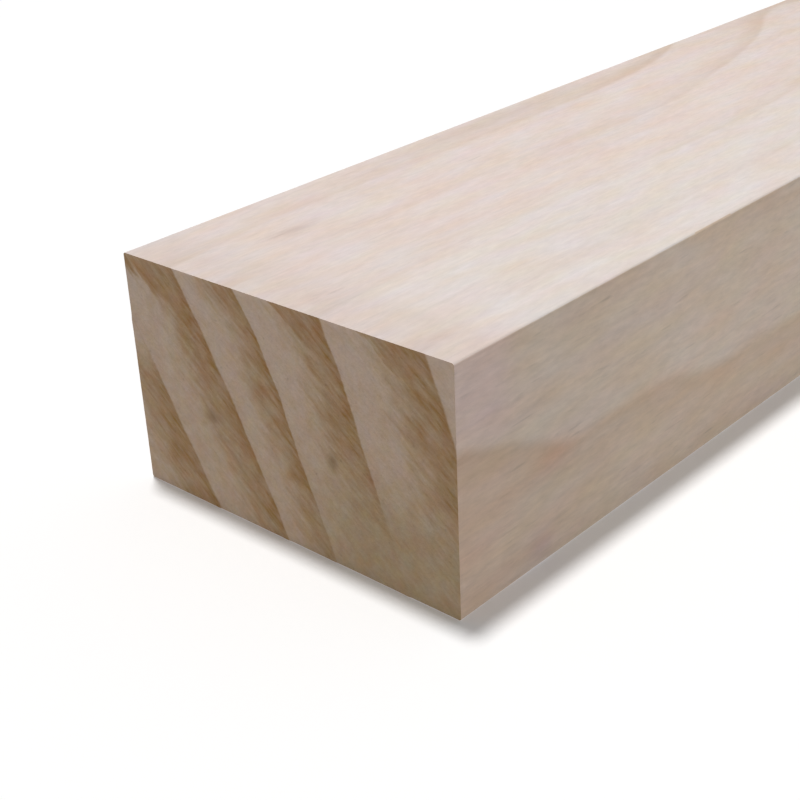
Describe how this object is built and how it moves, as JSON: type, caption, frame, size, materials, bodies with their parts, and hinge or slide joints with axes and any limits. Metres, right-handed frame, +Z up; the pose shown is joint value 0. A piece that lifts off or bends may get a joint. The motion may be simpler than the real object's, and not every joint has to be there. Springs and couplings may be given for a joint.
{
  "type": "timber plank",
  "caption": "Straight planed softwood plank of rectangular section, with lightly eased long edges and square-sawn ends.",
  "frame": {"origin": "on the underside, under the middle of the plank's length and width", "axes": "+X along the length, away from the end that the picture shows; +Y across the width; +Z up through the thickness"},
  "size_m": [2.4384, 0.0636, 0.0381],
  "materials": {
    "planed_pine": "planed, unfinished, matt"
  },
  "bodies": {
    "root": {"plank": "planed_pine"}
  },
  "joints": []
}
